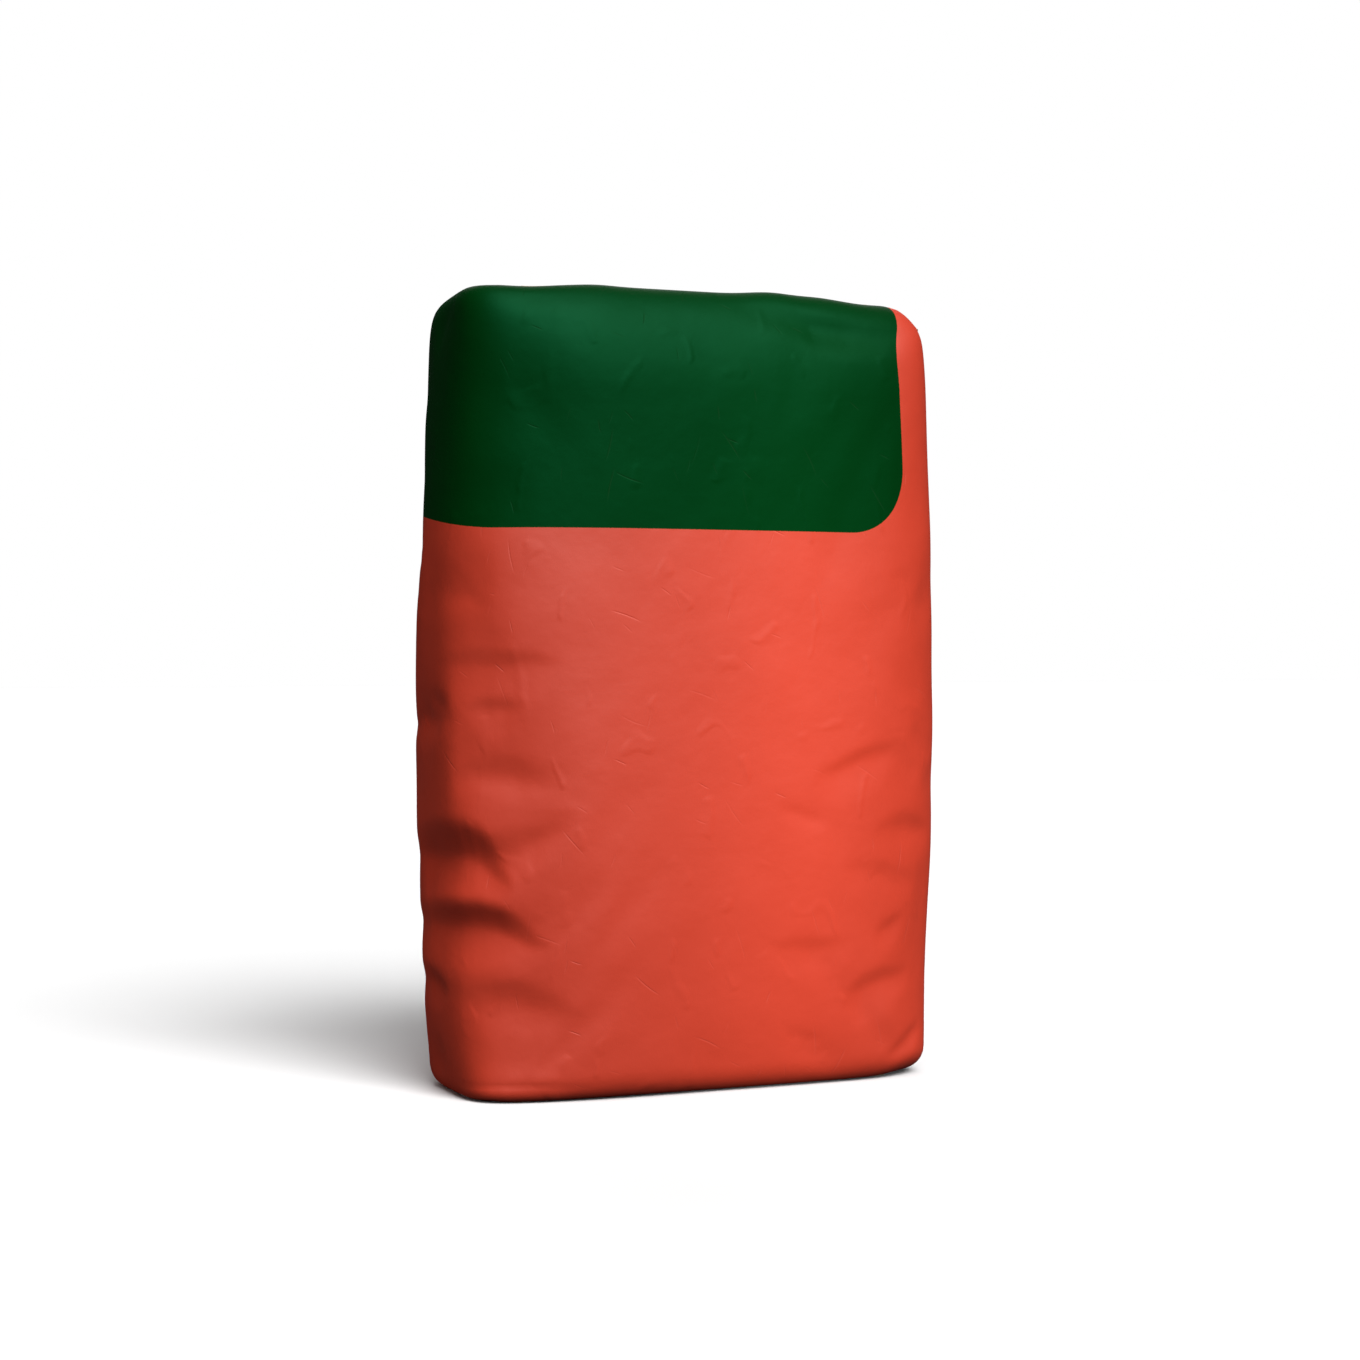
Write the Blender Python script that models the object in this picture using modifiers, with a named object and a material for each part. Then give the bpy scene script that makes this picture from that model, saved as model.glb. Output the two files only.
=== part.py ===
"""A full 25 kg cement sack of layered kraft paper, standing on its folded block bottom.

Metres, +Z up. The origin is on the floor, under the middle of the sack. The printed
front panel faces -Y, the width runs along X, and the filling valve is in the short
side at +X, just under the top.
"""
import math

import bmesh
import bpy

# Whole sack
HEIGHT = 0.480
END_WIDTH = 0.298
END_DEPTH = 0.118
WIDEST_WIDTH = 0.317
WIDEST_DEPTH = 0.139
WIDEST_SHARE = 0.45
BULGE_POWER = 2.4
END_SQUARENESS = 7.0
MIDDLE_SQUARENESS = 4.5
SQUARE_END_POWER = 6.0
TOP_RADIUS = 0.025
BOTTOM_RADIUS = 0.015

# Paper and clearances
WALL = 0.0003
SHEET = 0.0003
GAP = 0.0003

# Glued cover sheets over the flat part of each folded end
BOTTOM_COVER_WIDTH = 0.244
BOTTOM_COVER_DEPTH = 0.080
TOP_COVER_WIDTH = 0.228
TOP_COVER_DEPTH = 0.062

# Cement and the flat valve sleeve that lies on it
FILL_TOP = 0.4650
FILL_TOP_RADIUS = 0.012
SLEEVE_LENGTH = 0.120
SLEEVE_WIDTH = 0.084
SLEEVE_THICKNESS = 0.0012
SLEEVE_PROUD = 0.0008
SLIT_DEPTH = 0.030

# Mesh detail
STEPS = 14
EDGE_STEPS = 3
SLEEVE_SEGMENTS = 24
SHARP_ANGLE = math.radians(40.0)
EIGHTH_TURN = math.radians(45.0)
QUARTER_TURN = math.radians(90.0)

SACK_BOTTOM = SHEET + GAP
SACK_TOP = HEIGHT - SHEET - GAP
FILL_INSET = WALL + GAP
FILL_BOTTOM = SACK_BOTTOM + FILL_INSET
SLEEVE_LEVEL = FILL_TOP + GAP + SLEEVE_THICKNESS / 2


def clear_scene():
    """Remove everything that the scene holds at the start."""
    for obj in list(bpy.data.objects):
        bpy.data.objects.remove(obj, do_unlink=True)


def new_collection(name):
    """Make a collection in the scene and return it."""
    collection = bpy.data.collections.new(name)
    bpy.context.scene.collection.children.link(collection)
    return collection


def material(name, colour, roughness):
    """Make a matt or satin material with one Principled BSDF."""
    made = bpy.data.materials.new(name)
    made.use_nodes = True
    shader = made.node_tree.nodes["Principled BSDF"]
    shader.inputs["Base Color"].default_value = (*colour, 1.0)
    shader.inputs["Roughness"].default_value = roughness
    shader.inputs["Metallic"].default_value = 0.0
    made.diffuse_color = (*colour, 1.0)
    return made


def add_object(bm, name, collection, surface=None):
    """Turn a bmesh into a smooth-shaded object with sharp creases kept sharp."""
    bmesh.ops.recalc_face_normals(bm, faces=bm.faces)
    mesh = bpy.data.meshes.new(name)
    bm.to_mesh(mesh)
    bm.free()
    mesh.shade_smooth()
    mesh.set_sharp_from_angle(angle=SHARP_ANGLE)
    if surface:
        mesh.materials.append(surface)
    obj = bpy.data.objects.new(name, mesh)
    collection.objects.link(obj)
    return obj


def half_sizes(z):
    """Half width and half depth of the filled sack at one height, edge rounding left out."""
    share = z / HEIGHT
    span = WIDEST_SHARE if share < WIDEST_SHARE else 1 - WIDEST_SHARE
    belly = 1 - abs((share - WIDEST_SHARE) / span) ** BULGE_POWER
    half_width = (END_WIDTH + (WIDEST_WIDTH - END_WIDTH) * belly) / 2
    half_depth = (END_DEPTH + (WIDEST_DEPTH - END_DEPTH) * belly) / 2
    return half_width, half_depth


def squareness(z):
    """Exponent of the rounded section at one height: square at the ends, rounder between."""
    nearness_to_end = abs(2 * z / HEIGHT - 1) ** SQUARE_END_POWER
    return MIDDLE_SQUARENESS + (END_SQUARENESS - MIDDLE_SQUARENESS) * nearness_to_end


def signed_power(value, power):
    """Raise the size of a number to a power and keep its sign."""
    return math.copysign(abs(value) ** power, value)


def section_point(u, v, exponent):
    """Map the direction of a point of the unit square to the rounded section's outline."""
    reach = max(abs(u), abs(v))
    if reach == 0:
        return 0.0, 0.0
    if abs(u) >= abs(v):
        angle = math.atan2(0.0, u) + EIGHTH_TURN * v / reach * math.copysign(1, u)
    else:
        angle = math.copysign(QUARTER_TURN, v) - EIGHTH_TURN * u / reach * math.copysign(1, v)
    power = 2 / exponent
    return signed_power(math.cos(angle), power), signed_power(math.sin(angle), power)


def filled_form(bottom, top, bottom_radius, top_radius, inset):
    """Closed form of the filled sack between two heights, moved in by an inset.

    It starts as a cube with a grid on each face. The last steps of the grid before an
    end go round the end's edge as an arc, and the rest of that face is flat.
    """
    bm = bmesh.new()
    bmesh.ops.create_cube(bm, size=2.0)
    bmesh.ops.subdivide_edges(bm, edges=bm.edges, cuts=STEPS - 1, use_grid_fill=True)
    arc_start = 1 - 2 * EDGE_STEPS / STEPS
    for vert in bm.verts:
        u, v, w = vert.co
        radius = top_radius if w > 0 else bottom_radius
        reach = max(abs(u), abs(v))
        on_end = math.isclose(abs(w), 1.0, abs_tol=0.5 / STEPS)
        along = reach if on_end else abs(w)
        share = max(0.0, (along - arc_start) / (1 - arc_start))
        angle = EIGHTH_TURN * share
        if on_end:
            angle = QUARTER_TURN - angle
        drop = radius * (1 - math.sin(angle))
        pulled = radius * (1 - math.cos(angle)) + inset
        if not on_end and abs(w) < arc_start:
            lowest = bottom + bottom_radius
            highest = top - top_radius
            z = lowest + (highest - lowest) * (w / arc_start + 1) / 2
        elif w > 0:
            z = top - drop
        else:
            z = bottom + drop
        half_width, half_depth = half_sizes(z)
        scale = min(1.0, reach / arc_start) if on_end else 1.0
        x, y = section_point(u, v, squareness(z))
        vert.co = ((half_width - pulled) * scale * x, (half_depth - pulled) * scale * y, z)
    return bm


def flat_sheet(width, depth, z):
    """Rectangular glued sheet whose lower face is at a height."""
    bm = bmesh.new()
    bmesh.ops.create_cube(bm, size=1.0)
    for vert in bm.verts:
        x, y, up = vert.co
        vert.co = (x * width, y * depth, z + (up + 0.5) * SHEET)
    return bm


def sleeve_loop(bm, x, thickness, width):
    """Edge loop of a flattened tube: two flat sides joined by half circles."""
    radius = thickness / 2
    made = bmesh.ops.create_circle(bm, radius=radius, segments=SLEEVE_SEGMENTS)
    for vert in made["verts"]:
        side, up = vert.co.x, vert.co.y
        straight = width / 2 - radius
        vert.co = (x, side + math.copysign(straight, side), SLEEVE_LEVEL + up)
    return made["verts"]


def valve_end():
    """Place along X where the sleeve's mouth stands just proud of the side."""
    half_width, _ = half_sizes(SLEEVE_LEVEL)
    above_centre = SLEEVE_LEVEL - (SACK_TOP - TOP_RADIUS)
    pulled = TOP_RADIUS - math.sqrt(TOP_RADIUS ** 2 - above_centre ** 2)
    return half_width - pulled + SLEEVE_PROUD


def make_sleeve(collection, surface):
    """Flattened paper tube, open at both ends, that closes under the cement's pressure."""
    bm = bmesh.new()
    mouth = valve_end()
    verts = sleeve_loop(bm, mouth, SLEEVE_THICKNESS, SLEEVE_WIDTH)
    edges = {edge for vert in verts for edge in vert.link_edges}
    made = bmesh.ops.extrude_edge_only(bm, edges=list(edges))
    for part in made["geom"]:
        if isinstance(part, bmesh.types.BMVert):
            part.co.x -= SLEEVE_LENGTH
    sleeve = add_object(bm, "valve_sleeve", collection, surface)
    walls = sleeve.modifiers.new("Paper", "SOLIDIFY")
    walls.thickness = WALL
    walls.offset = -1
    return sleeve


def make_slit_cutter(collection):
    """Block that opens the side wall where the sleeve passes through it."""
    bm = bmesh.new()
    bmesh.ops.create_cube(bm, size=1.0)
    length = SLIT_DEPTH
    width = SLEEVE_WIDTH + 2 * GAP
    height = SLEEVE_THICKNESS + 2 * GAP
    for vert in bm.verts:
        x, y, z = vert.co
        vert.co = (valve_end() + x * length, y * width, SLEEVE_LEVEL + z * height)
    cutter = add_object(bm, "valve_slit_cutter", collection)
    cutter.hide_render = True
    cutter.display_type = "WIRE"
    return cutter


def make_sack(collection, cutters, surface):
    """Paper shell of the sack, with the slit of the valve as its only opening."""
    form = filled_form(SACK_BOTTOM, SACK_TOP, BOTTOM_RADIUS, TOP_RADIUS, 0.0)
    sack = add_object(form, "paper_sack", collection, surface)
    plies = sack.modifiers.new("Plies", "SOLIDIFY")
    plies.thickness = WALL
    plies.offset = -1
    plies.use_even_offset = True
    slit = sack.modifiers.new("Valve slit", "BOOLEAN")
    slit.operation = "DIFFERENCE"
    slit.solver = "EXACT"
    slit.object = make_slit_cutter(cutters)
    return sack


def make_fill(collection, surface):
    """Packed cement inside the sack, with a little headspace over it."""
    radius = BOTTOM_RADIUS - FILL_INSET
    form = filled_form(FILL_BOTTOM, FILL_TOP, radius, FILL_TOP_RADIUS, FILL_INSET)
    return add_object(form, "cement_fill", collection, surface)


def main():
    """Build the sack."""
    clear_scene()
    parts = new_collection("cement_bag")
    cutters = new_collection("cutters")
    printed_paper = material("printed_paper", (0.62, 0.10, 0.06), 0.45)
    cover_paper = material("cover_paper", (0.60, 0.46, 0.31), 0.75)
    sleeve_paper = material("sleeve_paper", (0.66, 0.54, 0.39), 0.70)
    cement = material("cement", (0.33, 0.33, 0.32), 0.95)
    make_sack(parts, cutters, printed_paper)
    make_fill(parts, cement)
    make_sleeve(parts, sleeve_paper)
    bottom_sheet = flat_sheet(BOTTOM_COVER_WIDTH, BOTTOM_COVER_DEPTH, 0.0)
    add_object(bottom_sheet, "bottom_cover_sheet", parts, cover_paper)
    top_sheet = flat_sheet(TOP_COVER_WIDTH, TOP_COVER_DEPTH, HEIGHT - SHEET)
    add_object(top_sheet, "top_cover_sheet", parts, cover_paper)


main()
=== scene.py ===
"""Looks of a full 25 kg cement sack of layered kraft paper, standing on its folded bottom.

The paper is a grid of rows and columns, as the flat tube would be. It is shaped to the
filled sack, dented where the photograph shows dents, and relaxed as cloth, and its larger
folds are pressed in last. Its UVs are the flat sheet's own coordinates in metres, and the
print is drawn in them.
"""

import math

import bpy
import numpy as np
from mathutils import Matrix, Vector, noise
from mathutils.bvhtree import BVHTree


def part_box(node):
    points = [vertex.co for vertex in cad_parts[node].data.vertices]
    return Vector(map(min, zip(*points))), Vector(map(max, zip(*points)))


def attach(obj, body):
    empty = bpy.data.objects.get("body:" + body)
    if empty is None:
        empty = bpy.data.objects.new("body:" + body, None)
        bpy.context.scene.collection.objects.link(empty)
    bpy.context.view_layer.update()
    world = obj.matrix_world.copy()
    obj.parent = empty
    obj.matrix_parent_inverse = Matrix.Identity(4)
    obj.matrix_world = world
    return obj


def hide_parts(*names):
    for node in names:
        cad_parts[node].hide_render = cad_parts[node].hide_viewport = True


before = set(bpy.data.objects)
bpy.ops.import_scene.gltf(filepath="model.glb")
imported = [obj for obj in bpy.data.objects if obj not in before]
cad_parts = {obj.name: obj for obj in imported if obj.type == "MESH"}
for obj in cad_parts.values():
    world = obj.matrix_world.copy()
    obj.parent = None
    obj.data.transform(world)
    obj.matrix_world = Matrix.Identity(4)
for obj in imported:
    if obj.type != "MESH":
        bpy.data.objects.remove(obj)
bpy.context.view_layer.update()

# Camera, as fitted to the sack's outline in the photograph
CAMERA_AZIMUTH = math.radians(-23.23)
CAMERA_DISTANCE = 1.5675
CAMERA_HEIGHT = 0.2665
CAMERA_PITCH = math.radians(0.7345)
CAMERA_AIM = math.radians(-0.0296)
CAMERA_LENS = 67.2
SENSOR = 36.0

# Millimetres in a metre
MM = 1000

# Form of the filled sack: half sizes, and edges as (reach, rise, power)
END_HALF = (0.149, 0.059)
WIDEST_HALF = (0.1585, 0.0695)
WIDEST_SHARE = 0.45
BULGE_POWER = 2.4
END_SQUARENESS = 7.0
MIDDLE_SQUARENESS = 4.5
SQUARE_END_POWER = 6.0
FRONT_LEFT_SOFTER = 0.66
FRONT_RIGHT_SOFTER = 0.80
OUTLINE_SAMPLES = 8000
TOP_EDGE_FRONT = (0.022, 0.056, 1.8)
TOP_EDGE_LEFT = (0.007, 0.011, 1.6)
TOP_EDGE_RIGHT = (0.017, 0.021, 1.5)
RIGHT_BULGE = 1.030
BOTTOM_EDGE = (0.012, 0.015, 2.0)
BOTTOM_EDGE_LEFT = (0.007, 0.011, 2.0)

# The flat tube and its grid
PERIMETER = 0.828
ACROSS = 56
DEEP = 24
AROUND = 2 * (ACROSS + DEEP)
TOP_ROWS = 9
WALL_ROWS = 86
BOTTOM_ROWS = 5

# Dents: place along the tube from the front's middle, height of the deepest line,
# half length, rise above and below that line, depth (all in mm), and tilt in degrees
SIDE_DENTS = [
    (-188, 143, 60, 20, 30, 3.0, 0),
    (-178, 103, 70, 14, 26, 2.6, 0),
    (-218, 66, 34, 12, 16, 1.5, -4),
    (-212, 222, 44, 22, 16, 2.6, 3),
    (-205, 300, 50, 24, 18, 1.6, -6),
    (-134, 191, 32, 14, 14, 0.8, 0),
    (-134, 56, 40, 16, 16, 1.0, 0),
]
FRONT_DENTS = [
    (90, 196, 34, 12, 12, 1.0, 12),
    (124, 153, 30, 12, 12, 0.6, 0),
    (118, 125, 36, 12, 12, 0.5, -6),
    (116, 94, 22, 10, 10, 0.6, 14),
    (112, 61, 30, 13, 13, 1.4, 12),
    (136, 24, 24, 10, 10, 1.0, 28),
    (60, 88, 34, 9, 9, 0.6, 0),
    (52, 166, 34, 9, 9, 0.6, -14),
    (105, 456, 50, 13, 13, 1.6, 10),
]

# Folds pressed into the settled paper. Each is a crispness and a line of points: along the
# tube and up (mm), depth, and how far the fold reaches above and below the line
FOLDS = [
    (0.5, [(-262, 140, 0.4, 12, 30), (-232, 140, 1.2, 18, 36), (-208, 141, 4.4, 22, 38),
           (-182, 143, 6.2, 25, 40), (-166, 143, 6.6, 26, 40), (-156, 140, 5.8, 26, 36),
           (-149, 135, 4.2, 24, 28), (-142, 130, 2.2, 18, 18), (-134, 126, 0.0, 6, 8)]),
    (0.5, [(-262, 101, 0.4, 8, 20), (-232, 101, 1.0, 12, 24), (-208, 102, 3.8, 17, 30),
           (-182, 102, 5.4, 19, 34), (-160, 102, 5.6, 20, 34), (-144, 100, 4.8, 19, 30),
           (-130, 95, 2.8, 15, 22), (-121, 92, 1.2, 10, 14), (-112, 90, 0.0, 4, 6)]),
    (0.6, [(-262, 66, 0.2, 8, 14), (-230, 66, 0.7, 12, 18), (-212, 67, 2.4, 12, 20),
           (-200, 66, 1.6, 8, 16), (-188, 62, 0.0, 3, 6)]),
    (0.15, [(-190, 255, 0.0, 8, 20), (-160, 254, 1.2, 13, 30), (-140, 254, 1.7, 13, 32),
            (-122, 255, 1.1, 11, 28), (-103, 256, 0.0, 4, 12)]),
    (0.2, [(-165, 229, 0.0, 5, 12), (-150, 229, 1.3, 10, 20), (-138, 229, 1.3, 10, 20),
           (-126, 230, 0.0, 4, 10)]),
    (0.25, [(-175, 189, 0.0, 8, 20), (-150, 190, 1.0, 17, 34), (-130, 188, 1.3, 16, 34),
            (-114, 184, 0.7, 12, 26), (-98, 180, 0.0, 6, 10)]),
    (0.15, [(-160, 148, 0.0, 8, 12), (-140, 149, 0.5, 12, 20), (-122, 152, 0.8, 12, 22),
            (-108, 156, 0.5, 10, 18), (-96, 160, 0.0, 5, 8)]),
    (0.25, [(-175, 66, 0.0, 10, 20), (-150, 62, 0.8, 16, 28), (-126, 56, 1.3, 17, 30),
            (-106, 50, 0.8, 14, 24), (-86, 46, 0.0, 6, 10)]),
    (0.1, [(58, 186, 0.0, 6, 12), (75, 190, 1.0, 9, 24), (90, 196, 1.3, 10, 26),
           (104, 200, 0.8, 9, 24), (118, 203, 0.0, 5, 12)]),
    (0.1, [(100, 151, 0.0, 5, 12), (112, 154, 0.8, 11, 24), (126, 155, 1.2, 13, 26),
           (142, 153, 0.9, 11, 22), (158, 148, 0.0, 5, 12)]),
    (0.1, [(80, 131, 0.0, 5, 12), (94, 130, 0.6, 11, 24), (110, 126, 0.9, 13, 26),
           (128, 121, 0.6, 11, 22), (144, 118, 0.0, 5, 12)]),
    (0.2, [(104, 88, 0.0, 5, 10), (112, 92, 0.9, 9, 18), (120, 95, 0.9, 9, 18),
           (130, 100, 0.0, 5, 10)]),
    (0.1, [(86, 53, 0.0, 6, 12), (98, 57, 1.7, 12, 26), (110, 60, 2.1, 12, 28),
           (122, 62, 1.4, 10, 24), (138, 65, 0.0, 5, 10)]),
    (0.2, [(118, 12, 0.0, 4, 5), (130, 18, 1.3, 9, 12), (140, 24, 1.4, 9, 14),
           (152, 30, 0.0, 5, 8)]),
    (0.5, [(34, 170, 0.0, 4, 6), (45, 167, 0.5, 6, 12), (58, 163, 0.5, 6, 12),
           (68, 160, 0.0, 4, 6)]),
    (0.1, [(26, 84, 0.0, 6, 10), (45, 84, 0.7, 9, 22), (60, 83, 0.9, 10, 22), (76, 84, 0.5, 8, 20),
           (90, 86, 0.0, 6, 10)]),
    (0.8, [(42, 33, 0.0, 3, 4), (50, 32, 0.3, 4, 6), (62, 29, 0.3, 4, 6), (74, 28, 0.0, 3, 4)]),
    (0.1, [(14, 468, 0.0, 8, 12), (45, 463, 1.4, 11, 15), (70, 459, 3.0, 12, 17),
           (92, 457, 2.5, 12, 17), (118, 457, 1.4, 11, 15), (154, 460, 0.0, 6, 8)]),
]
CRISP_POWER = 1.25
FOLD_END_FADE = 8

# Broad soft hollows: place along the tube and up, depth, and half sizes beside, above and below
HOLLOWS = [
    (-140, 42, 6.5, 42, 60, 60),
    (-138, 205, 2.2, 26, 60, 60),
    (-128, 420, 4.0, 38, 45, 75),
    (150, 80, 2.6, 24, 50, 50),
]

# Made-up dents along the two hidden edges: their places along the tube (m), and the ranges
# that each dent's measures are drawn from (mm and degrees)
HIDDEN_EDGES = (0.275, 0.470)
HIDDEN_SEED = 11
HIDDEN_FIRST = (45, 65)
HIDDEN_STEP = (34, 58)
HIDDEN_TOP = 300
HIDDEN_DEPTH = (2.0, 6.0)
HIDDEN_DEPTH_FADE = 500
HIDDEN_REACH = (28, 60)
HIDDEN_UP = (11, 19)
HIDDEN_DOWN = (16, 30)
HIDDEN_SHIFT = (-30, 30)
HIDDEN_TILT = (-10, 10)
HIDDEN_BEND = (-3, 3)
HIDDEN_CRISP = (0.2, 0.9)
HIDDEN_LINE = [(-1.0, 0.0), (-0.6, 0.8), (-0.1, 1.0), (0.5, 0.75), (0.8, 0.3), (1.0, 0.0)]
HIDDEN_NARROWEST = 0.25

# Cloth
CLOTH_FRAMES = 20
SPARE_HEIGHT = 0.004
SPARE_GIRTH = 0.004
DENT_SPARE = 0.045
SPARE_ALONG = 1.2
SPARE_ACROSS = 0.7
DENT_POINTED = 0.6
TINY = 1e-6
FULL_DENT = 0.004
HELD_DENT = 0.0035
FIXED_DENT = 0.005
HELD_END = 0.002
START_RIPPLE = 0.001
RIPPLE_SCALE = 25.0
KEPT_RADIUS = 7

# How much of the cloth's folds is kept: more on the sides, less on the front and its top, and
# less at some places of the outline, as (place along the tube, half width, share taken off)
SIDE_GAIN = 1.15
FRONT_CALM = 0.6
FRONT_MIDDLE = 0.025
FRONT_HALF = 0.155
FRONT_POWER = 6
TOP_CALM = 0.2
TOP_CALM_START = 0.28
TOP_CALM_FADE = 0.08
END_FADE = 0.02
OUTLINE_CALM = [(-0.236, 0.018, 0.7), (0.170, 0.018, 0.7)]

# Unevenness of the top's front edge: place along X, rise, half width (mm). The waves fade out
# towards the back. The two uneven corners are (x, y, drop or lift, reach)
TOP_WAVES = [
    (0, 1.7, 150),
    (-112, -1.6, 18),
    (-69, 0.9, 15),
    (45, 2.3, 20),
    (76, 1.0, 14),
    (110, -1.1, 15),
]
WAVE_FADE = 0.08
SAGGED_CORNER = (-0.140, 0.052, 0.0055, 0.055)
LIFTED_CORNER = (0.140, -0.052, 0.0032, 0.018)

# Folded ends and valve
FLAP_STEP = 0.0004
FLAP_EDGE = 0.0012
FLAP_RIM = 0.006
ON_END = 0.0006
SLIT_FIRST = ACROSS + 4
SLIT_LAST = ACROSS + DEEP - 4
SLIT_OPENING = 0.0010
LIP_PUSH = 0.0008
LIP_ROWS = ((-1, 0.5), (0, 1.0), (1, 0.5))
SLEEVE_WALL = 0.00025
SLEEVE_ROWS = 16
SLEEVE_LOOP = 72
SLEEVE_PROUD = 0.0007
SLEEVE_SIDE_GAP = 0.0012
SLEEVE_OPENING = SLIT_OPENING * 0.75

# Cement and cover sheets
FILL_INSET = 0.0022
FILL_SETTLED = 0.001
POWDER_SCALE = 40
POWDER_HEIGHT = 0.0006
COVER_CELL = 0.003
COVER_LIFT = 0.0004
ABOVE_SACK = 1.0

sack_low, sack_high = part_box("paper_sack")
BASE = sack_low.z
HEIGHT = sack_high.z - sack_low.z
sleeve_low, sleeve_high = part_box("valve_sleeve")
VALVE_LEVEL = (sleeve_low.z + sleeve_high.z) / 2
SLEEVE_LENGTH = sleeve_high.x - sleeve_low.x
FILL_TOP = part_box("cement_fill")[1].z - FILL_SETTLED
CELL = PERIMETER / AROUND
PATTERN = PERIMETER / 2


def link(mesh, name):
    """Put a mesh in the scene as an object."""
    obj = bpy.data.objects.new(name, mesh)
    bpy.context.scene.collection.objects.link(obj)
    return obj


def outline(half_width, half_depth, squareness):
    """Rounded rectangle as points evenly spaced along it, from the left front corner on."""
    angle = np.linspace(-math.pi / 2, 1.5 * math.pi, OUTLINE_SAMPLES + 1)
    front = np.where(np.sin(angle) < 0, 1.0, 0.0)
    softer = np.where(np.cos(angle) < 0, FRONT_LEFT_SOFTER, FRONT_RIGHT_SOFTER)
    power = 2 / (squareness * (1 - front * (1 - softer)))
    x = half_width * np.sign(np.cos(angle)) * np.abs(np.cos(angle)) ** power
    y = half_depth * np.sign(np.sin(angle)) * np.abs(np.sin(angle)) ** power
    length = np.concatenate([[0.0], np.cumsum(np.hypot(np.diff(x), np.diff(y)))])
    wanted = (np.arange(AROUND) - ACROSS / 2) / AROUND % 1 * length[-1]
    return np.stack([np.interp(wanted, length, x), np.interp(wanted, length, y)], -1)


def edge_inset(distance, size):
    """How far an edge's rounding pulls the wall in, at a distance from the end."""
    reach, rise, power = size
    left = np.clip(1 - distance / rise, 0, 1)
    return reach * (1 - (1 - left ** power) ** (1 / power))


def ring_points(z):
    """The sack's outline at one height above its base."""
    share = z / HEIGHT
    span = WIDEST_SHARE if share < WIDEST_SHARE else 1 - WIDEST_SHARE
    belly = 1 - abs((share - WIDEST_SHARE) / span) ** BULGE_POWER
    width, depth = (end + (widest - end) * belly for end, widest in zip(END_HALF, WIDEST_HALF))
    low = edge_inset(z, BOTTOM_EDGE)
    width -= low
    depth -= edge_inset(HEIGHT - z, TOP_EDGE_FRONT) + low
    to_end = abs(2 * share - 1) ** SQUARE_END_POWER
    squareness = MIDDLE_SQUARENESS + (END_SQUARENESS - MIDDLE_SQUARENESS) * to_end
    x, y = outline(width, depth, squareness).T
    fuller = low - edge_inset(z, BOTTOM_EDGE_LEFT)
    left = 1 + (fuller - edge_inset(HEIGHT - z, TOP_EDGE_LEFT)) / width
    right = 1 - edge_inset(HEIGHT - z, TOP_EDGE_RIGHT) / width
    x = x * np.where(x < 0, left, right * RIGHT_BULGE)
    return np.column_stack([x, y, np.full(AROUND, z + BASE)])


def row_heights():
    """Heights of the rows of the wall, closer together round the two edges."""
    bottom = np.linspace(0, math.pi / 2, BOTTOM_ROWS + 1)
    top = np.linspace(0, math.pi / 2, TOP_ROWS + 1)
    low = BOTTOM_EDGE[1] * (1 - np.cos(bottom))
    high = HEIGHT - TOP_EDGE_FRONT[1] * (1 - np.sin(top))
    wall = np.linspace(low[-1], high[0], WALL_ROWS + 1)
    heights = np.concatenate([low[:-1], wall, high[1:]])
    heights[valve_row(heights)] = VALVE_LEVEL - BASE
    return heights


def valve_row(heights):
    """Number of the row that runs along the valve's slit."""
    return int(np.abs(heights - (VALVE_LEVEL - BASE)).argmin())


def cap_rim(ring):
    """The four sides of an end's rim, each from left to right or from front to back."""
    front = ring[:ACROSS + 1]
    right = ring[ACROSS:ACROSS + DEEP + 1]
    back = ring[ACROSS + DEEP:2 * ACROSS + DEEP + 1][::-1]
    left = np.concatenate([ring[2 * ACROSS + DEEP:], ring[:1]])[::-1]
    return front, right, back, left


def cap_points(ring):
    """Grid of points that spans the closed outline of an end, row by row from the front."""
    front, right, back, left = cap_rim(ring)
    u = np.linspace(0, 1, ACROSS + 1)[None, :, None]
    v = np.linspace(0, 1, DEEP + 1)[:, None, None]
    between_long = (1 - v) * front[None] + v * back[None]
    between_short = (1 - u) * left[:, None] + u * right[:, None]
    corners = ((1 - u) * (1 - v) * front[0] + u * (1 - v) * front[-1]
               + (1 - u) * v * back[0] + u * v * back[-1])
    return between_long + between_short - corners


def corners_of(grid, flipped):
    """The four corners of each cell of a grid of values, in the order that faces outward."""
    a, b, c, d = grid[:-1, :-1], grid[:-1, 1:], grid[1:, 1:], grid[1:, :-1]
    order = (a, d, c, b) if flipped else (a, b, c, d)
    return np.stack(order, 2).reshape(-1, 4, *grid.shape[2:])


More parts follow.
